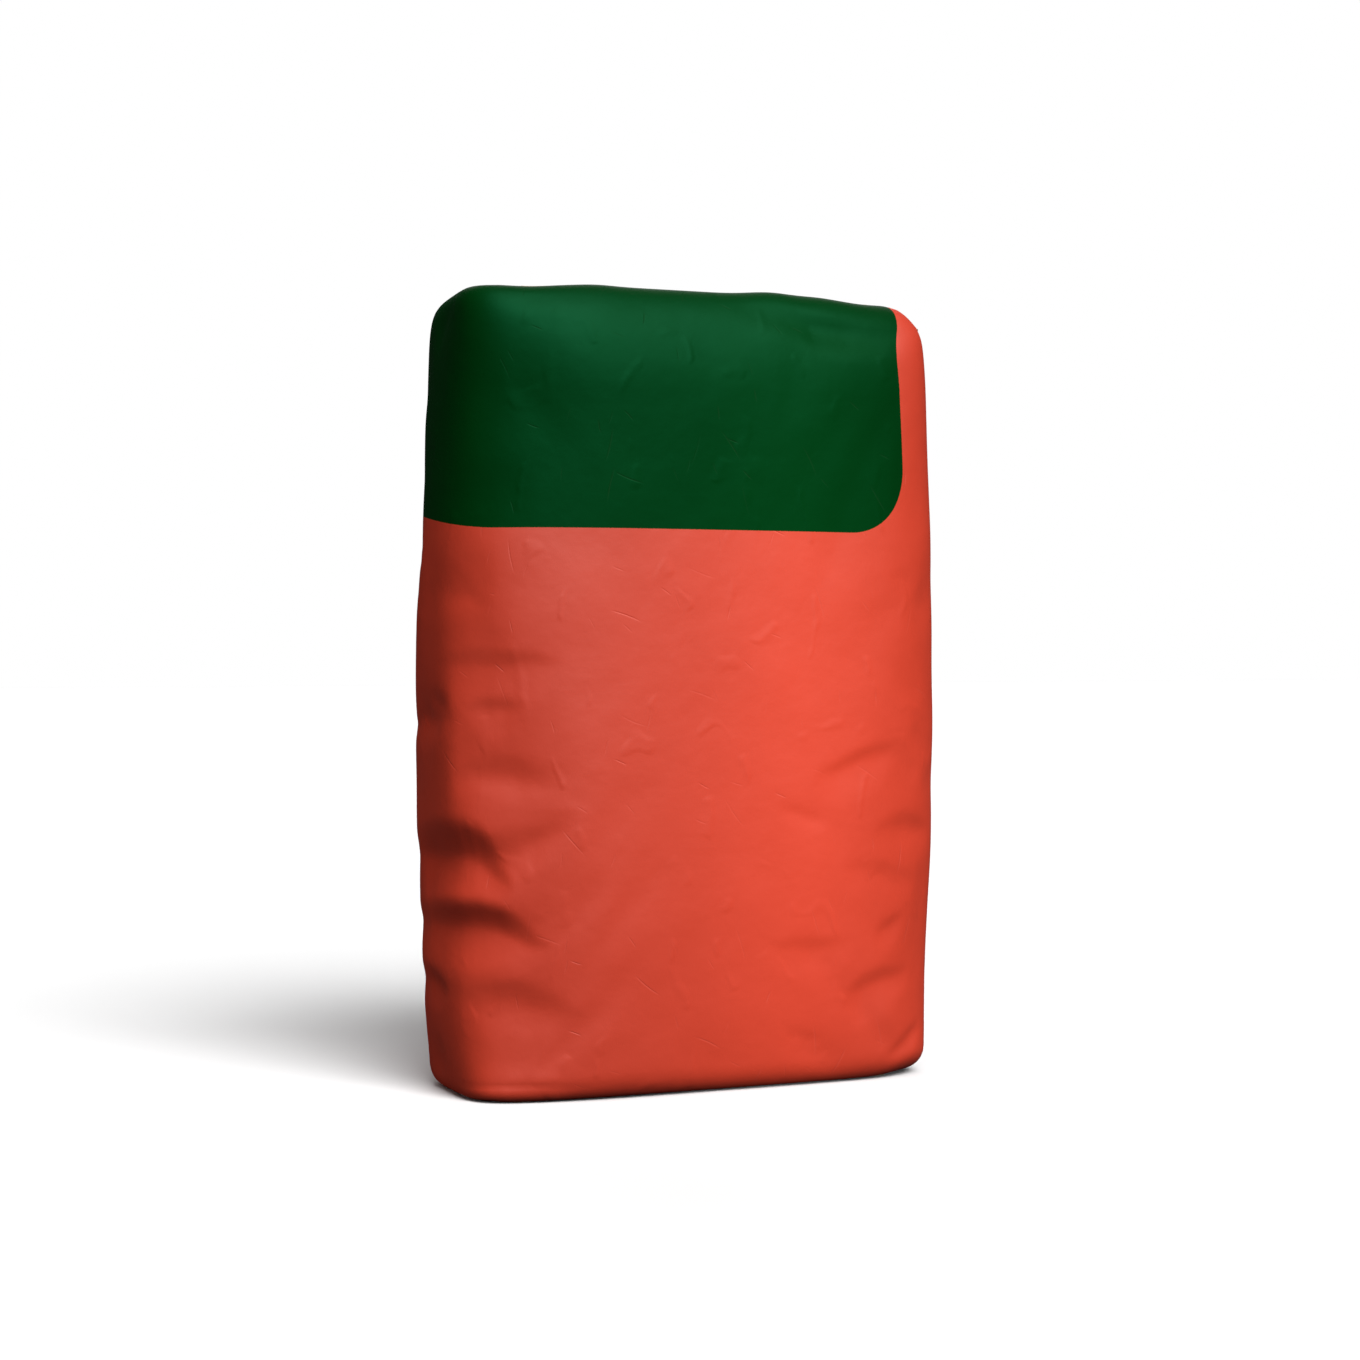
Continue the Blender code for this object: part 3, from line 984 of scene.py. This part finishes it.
def coral_share(graph, sheet):
    """1 where the sheet is coral, and 0 on the green field with its round lower corner."""
    s, height, _ = graph.split(sheet)
    start = GREEN_RIGHT + STRIP_WIDTH - PATTERN
    turns = graph.math("DIVIDE", graph.math("SUBTRACT", s, start), PATTERN)
    across = graph.product(graph.math("FRACT", turns), PATTERN)
    near_top = graph.math("SUBTRACT", height, GATHER_START)
    near_top = graph.math("DIVIDE", near_top, HEIGHT - GATHER_START, clamp=True)
    gathered = graph.product(graph.math("POWER", near_top, GATHER_POWER), GATHER_SHIFT)
    edge = graph.math("ADD", gathered, PATTERN - STRIP_WIDTH - GREEN_CORNER)
    low = graph.math("ADD", graph.span(across, 0.0, SIDE_SPAN, SIDE_RISE, 0.0), GREEN_LOW)
    right = graph.math("MAXIMUM", graph.math("SUBTRACT", across, edge), 0.0)
    down = graph.math("SUBTRACT", graph.math("ADD", low, GREEN_CORNER), height)
    down = graph.math("MAXIMUM", down, 0.0)
    squares = graph.math("ADD", graph.math("POWER", right, 2.0), graph.math("POWER", down, 2.0))
    past = graph.math("SUBTRACT", graph.math("SQRT", squares), GREEN_CORNER)
    ragged = graph.stray(graph.noise(sheet, scale=900.0, detail=3.0), PRINT_RAGGED)
    past = graph.span(graph.math("ADD", past, ragged), -PRINT_BLUR, PRINT_BLUR)
    return graph.product(past, graph.math("LESS_THAN", height, CORAL_TOP))


def seam_step(graph, sheet):
    """1 on the edge of the glued seam down the back, falling to 0 across its width."""
    s = graph.split(sheet)[0]
    return graph.product(graph.span(s, SEAM_EDGE - SEAM_STEP, SEAM_EDGE + SEAM_STEP),
                         graph.span(s, SEAM_EDGE + SEAM_FLAT, SEAM_EDGE + SEAM_WIDTH, 1.0, 0.0))


def printed_paper():
    """Satin printed paper: a green field over coral, with fine creases and fibre."""
    graph = Graph("printed_paper")
    uv = graph.nodes.new("ShaderNodeUVMap")
    uv.uv_map = "sheet"
    sheet = uv.outputs[0]
    coral = coral_share(graph, sheet)
    creases = graph.math("MAXIMUM", hair_creases(graph, sheet, **LONG_CREASES),
                         hair_creases(graph, sheet, **SHORT_CREASES))
    mottle = graph.noise(sheet, scale=22.0, detail=3.0, rough=0.55)
    fibre = graph.noise(graph.scaled(sheet, (1.0, 0.45, 1.0)), scale=1500.0, detail=3.0, rough=0.65)
    tone = graph.math("ADD", graph.stray(mottle, MOTTLE_TONE, 1.0), graph.stray(fibre, FIBRE_TONE))
    ink = graph.vector("SCALE", graph.mix(coral, GREEN, CORAL), tone)
    colour = graph.mix(graph.product(creases, CREASE_WEAR), ink, BARE_PAPER)
    rough = graph.math("MULTIPLY_ADD", mottle, MOTTLE_MATT, MATT)
    rough = graph.math("MULTIPLY_ADD", creases, CREASE_MATT, rough)
    lumps = graph.bump(graph.noise(graph.place(), scale=36.0, detail=3.0), LUMP_HEIGHT)
    softened = graph.bump(soft_creases(graph, sheet), SOFT_CREASE_HEIGHT, lumps)
    seamed = graph.bump(seam_step(graph, sheet), SEAM_HEIGHT, softened)
    lined = graph.bump(graph.math("SUBTRACT", 1.0, creases), CREASE_HEIGHT, seamed)
    gloss = graph.math("MULTIPLY_ADD", coral, CORAL_GLOSS - GREEN_GLOSS, GREEN_GLOSS)
    graph.surface(colour, rough, graph.bump(fibre, FIBRE_HEIGHT, lined), gloss)
    shine = graph.mix(coral, GREEN_SHINE, CORAL_SHINE)
    graph.plug(graph.shader.inputs["Specular Tint"], shine)
    return graph.material


def plain_paper(name, colour, fleck):
    """Unprinted brown paper with fibres, darker flecks and a faint cloudy tone."""
    graph = Graph(name)
    place = graph.place()
    cloud = graph.noise(place, scale=24.0, detail=3.0)
    fibre = graph.noise(graph.scaled(place, (0.3, 1.0, 1.0)), scale=1700.0, detail=3.0, rough=0.65)
    specks = graph.span(graph.noise(place, scale=620.0), *FLECK_EDGE)
    tone = graph.product(graph.math("ADD", cloud, fibre), PAPER_TONE)
    paper = graph.mix(tone, colour, tuple(part * PAPER_DARKEST for part in colour))
    paper = graph.mix(graph.product(specks, FLECK_SHARE), paper, fleck)
    rough = graph.math("MULTIPLY_ADD", fibre, 0.12, 0.66)
    relief = graph.bump(fibre, 0.00008, graph.bump(cloud, 0.0008))
    graph.surface(paper, rough, relief, gloss=0.25)
    return graph.material


def packed_powder():
    """Grey cement powder, packed."""
    graph = Graph("cement")
    place = graph.place()
    cloud = graph.noise(place, scale=18.0, detail=4.0)
    grain = graph.noise(place, scale=2400.0)
    tone = graph.math("MULTIPLY_ADD", cloud, POWDER_CLOUD, graph.product(grain, 1 - POWDER_CLOUD))
    rough = graph.math("MULTIPLY_ADD", grain, 0.05, 0.92)
    graph.surface(graph.mix(tone, *POWDER_TONES), rough, graph.bump(grain, 0.0002), gloss=0.2)
    return graph.material


def make_camera():
    """Camera at the photograph's viewing angle."""
    data = bpy.data.cameras.new("camera")
    data.lens = CAMERA_LENS
    data.sensor_width = SENSOR
    camera = bpy.data.objects.new("camera", data)
    bpy.context.scene.collection.objects.link(camera)
    x = math.sin(CAMERA_AZIMUTH) * CAMERA_DISTANCE
    y = -math.cos(CAMERA_AZIMUTH) * CAMERA_DISTANCE
    camera.location = (x, y, CAMERA_HEIGHT)
    yaw = CAMERA_AZIMUTH + CAMERA_AIM
    camera.rotation_euler = (math.pi / 2 - CAMERA_PITCH, 0.0, yaw)
    bpy.context.scene.camera = camera


def direction(azimuth, elevation):
    """Unit vector towards a light; azimuth 0 is in front of the sack, and 90 at its right."""
    a, e = math.radians(azimuth), math.radians(elevation)
    return Vector((math.sin(a) * math.cos(e), -math.cos(a) * math.cos(e), math.sin(e)))


def add_light(kind, name, azimuth, elevation, power):
    """Light that shines from a direction."""
    data = bpy.data.lights.new(name, kind)
    data.energy = power
    light = bpy.data.objects.new(name, data)
    bpy.context.scene.collection.objects.link(light)
    light.rotation_euler = direction(azimuth, elevation).to_track_quat("Z", "Y").to_euler()
    return light


def make_studio():
    """Plain pale floor, white surroundings and soft lights."""
    bpy.ops.mesh.primitive_plane_add(size=FLOOR_SIZE)
    floor = bpy.context.object
    floor.name = "floor"
    graph = Graph("floor")
    seen = graph.nodes.new("ShaderNodeLightPath").outputs["Is Camera Ray"]
    pale = graph.mix(graph.noise(graph.place(), scale=3.0), *FLOOR_PALE)
    graph.plug(graph.shader.inputs["Base Color"], graph.mix(seen, FLOOR_BOUNCE, pale))
    graph.shader.inputs["Roughness"].default_value = 0.9
    graph.shader.inputs["Specular IOR Level"].default_value = 0.0
    floor.data.materials.append(graph.material)
    for name, azimuth, elevation, power, softness, in_gloss in SUNS:
        sun = add_light("SUN", name, azimuth, elevation, power)
        sun.data.angle = math.radians(softness)
        sun.visible_glossy = in_gloss
    for name, azimuth, elevation, distance, power, width, spread in STRIPS:
        strip = add_light("AREA", name, azimuth, elevation, power)
        strip.location = Vector(STRIP_AIM) + direction(azimuth, elevation) * distance
        strip.data.shape = "RECTANGLE"
        strip.data.size, strip.data.size_y = width, STRIP_HEIGHT
        strip.data.spread = math.radians(spread)
        strip.visible_glossy = False
    world = bpy.data.worlds.new("studio")
    bpy.context.scene.world = world
    world.use_nodes = True
    nodes = world.node_tree.nodes
    seen = nodes.new("ShaderNodeLightPath")
    strength = nodes.new("ShaderNodeMapRange")
    world.node_tree.links.new(seen.outputs["Is Camera Ray"], strength.inputs[0])
    strength.inputs[3].default_value = SURROUNDINGS
    strength.inputs[4].default_value = 1.0
    background = nodes["Background"]
    background.inputs[0].default_value = (1, 1, 1, 1)
    world.node_tree.links.new(strength.outputs[0], background.inputs[1])
    bpy.context.scene.view_settings.view_transform = "Standard"


make_camera()
sack, coarse_points, coarse_faces = make_sack()
fill = make_fill(coarse_points, coarse_faces)
sleeve = make_sleeve(coarse_points)
top_cover, top_size = make_cover("top_cover_paper", "top_cover_sheet", sack)
bottom_cover, bottom_size = make_cover("bottom_cover_paper", "bottom_cover_sheet")
cover_paper = plain_paper("cover_paper", (0.60, 0.46, 0.31), (0.24, 0.15, 0.08))
sleeve_paper = plain_paper("sleeve_paper", (0.66, 0.54, 0.39), (0.30, 0.20, 0.12))
pieces = [
    (sack, "paper_sack", "printed_paper", printed_paper()),
    (fill, "cement_fill", "cement", packed_powder()),
    (sleeve, "valve_sleeve", "sleeve_paper", sleeve_paper),
    (top_cover, "top_cover_sheet", "cover_paper", cover_paper),
    (bottom_cover, "bottom_cover_sheet", "cover_paper", cover_paper),
]
for piece, node, slot, material in pieces:
    piece.data.materials.append(material)
    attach(piece, "root")
    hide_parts(node)
make_studio()
